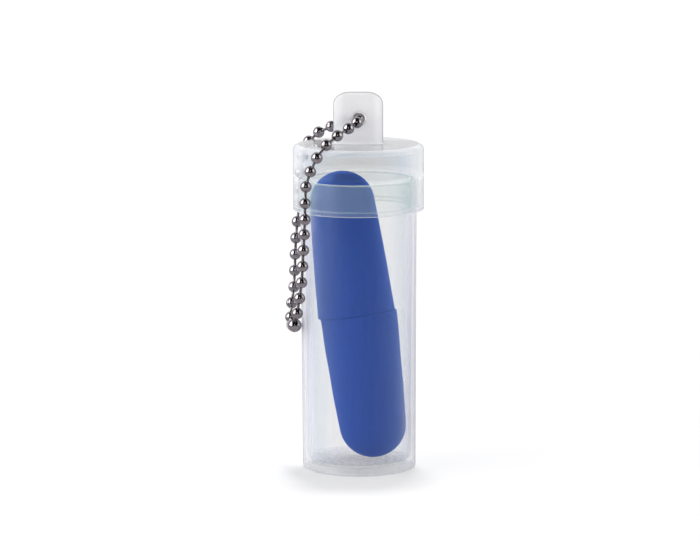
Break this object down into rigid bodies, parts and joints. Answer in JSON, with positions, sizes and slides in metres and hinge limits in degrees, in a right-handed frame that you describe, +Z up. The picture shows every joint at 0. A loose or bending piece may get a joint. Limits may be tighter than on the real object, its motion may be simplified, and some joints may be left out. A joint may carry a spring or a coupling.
{
  "type": "foam ear plugs in a carry case",
  "caption": "Tapered blue foam ear plugs stacked in a frosted round case with a slip-on cap, a holed tab and a ball chain loop.",
  "frame": {"origin": "centre of the case's flat bottom, on the surface it stands on", "axes": "+Z up along the case towards the cap's tab, -Y the front, +X to the right, so that the chain hangs on the -X side"},
  "size_m": [0.0267, 0.025, 0.0726],
  "materials": {
    "frosted_plastic": "satin",
    "blue_foam": "matte",
    "chain_metal": "polished"
  },
  "bodies": {
    "case": {"tube": "frosted_plastic"},
    "cap": {"cap": "frosted_plastic"},
    "upper_plug": {"plug_upper": "blue_foam"},
    "lower_plug": {"plug_lower": "blue_foam"},
    "chain_yoke": {"bead_hole": "chain_metal", "bead_front_01": "chain_metal", "bead_front_02": "chain_metal", "bead_front_03": "chain_metal", "bead_front_04": "chain_metal", "bead_rear_01": "chain_metal", "bead_rear_02": "chain_metal", "bead_rear_03": "chain_metal", "bead_rear_04": "chain_metal"},
    "chain_rung_1": {"bead_front_05": "chain_metal", "bead_front_06": "chain_metal", "bead_rear_05": "chain_metal", "bead_rear_06": "chain_metal"},
    "chain_rung_2": {"bead_front_07": "chain_metal", "bead_front_08": "chain_metal", "bead_rear_07": "chain_metal", "bead_rear_08": "chain_metal"},
    "chain_rung_3": {"bead_front_09": "chain_metal", "bead_front_10": "chain_metal", "bead_rear_09": "chain_metal", "bead_rear_10": "chain_metal"},
    "chain_rung_4": {"bead_front_11": "chain_metal", "bead_front_12": "chain_metal", "bead_rear_11": "chain_metal", "bead_rear_12": "chain_metal"},
    "chain_rung_5": {"bead_front_13": "chain_metal", "bead_front_14": "chain_metal", "bead_rear_13": "chain_metal", "bead_rear_14": "chain_metal"},
    "chain_rung_6": {"bead_front_15": "chain_metal", "bead_front_end": "chain_metal", "bead_rear_15": "chain_metal", "bead_rear_16": "chain_metal", "bead_rear_end": "chain_metal", "clasp": "chain_metal"}
  },
  "joints": [
    {"name": "cap_pull", "type": "slide", "parent": "case", "child": "cap", "axis": [0, 0, 1], "range_m": [0, 0.09]},
    {"name": "upper_plug_out", "type": "slide", "parent": "case", "child": "upper_plug", "axis": [0, 0, 1], "range_m": [0, 0.054]},
    {"name": "lower_plug_out", "type": "slide", "parent": "case", "child": "lower_plug", "axis": [0, 0, 1], "range_m": [0, 0.0315]},
    {"name": "chain_swing", "type": "hinge", "parent": "cap", "child": "chain_yoke", "pos_m": [0.0002, -0.0003, 0.0675], "axis": [0, 1, 0], "range_deg": [0, 110]},
    {"name": "chain_fold_1", "type": "hinge", "parent": "chain_yoke", "child": "chain_rung_1", "pos_m": [-0.00744, -0.00088, 0.06311], "axis": [-0.0827, 0.9963, 0.0222], "range_deg": [0, 35]},
    {"name": "chain_fold_2", "type": "hinge", "parent": "chain_rung_1", "child": "chain_rung_2", "pos_m": [-0.01012, -0.00075, 0.05794], "axis": [-0.0808, 0.9963, 0.0306], "range_deg": [0, 35]},
    {"name": "chain_fold_3", "type": "hinge", "parent": "chain_rung_2", "child": "chain_rung_3", "pos_m": [-0.01072, -0.00076, 0.05171], "axis": [-0.0713, 0.997, 0.0307], "range_deg": [0, 35]},
    {"name": "chain_fold_4", "type": "hinge", "parent": "chain_rung_3", "child": "chain_rung_4", "pos_m": [-0.01113, -0.00028, 0.04549], "axis": [-0.1018, 0.9945, 0.0238], "range_deg": [0, 35]},
    {"name": "chain_fold_5", "type": "hinge", "parent": "chain_rung_4", "child": "chain_rung_5", "pos_m": [-0.0115, 0.00007, 0.03918], "axis": [-0.1101, 0.9937, 0.0217], "range_deg": [0, 35]},
    {"name": "chain_fold_6", "type": "hinge", "parent": "chain_rung_5", "child": "chain_rung_6", "pos_m": [-0.01205, 0.00029, 0.03293], "axis": [-0.0983, 0.9949, 0.0206], "range_deg": [0, 35]}
  ],
  "couplings": [
    {"joint": "upper_plug_out", "follows": "cap_pull", "ratio": 0.6},
    {"joint": "lower_plug_out", "follows": "cap_pull", "ratio": 0.35}
  ]
}
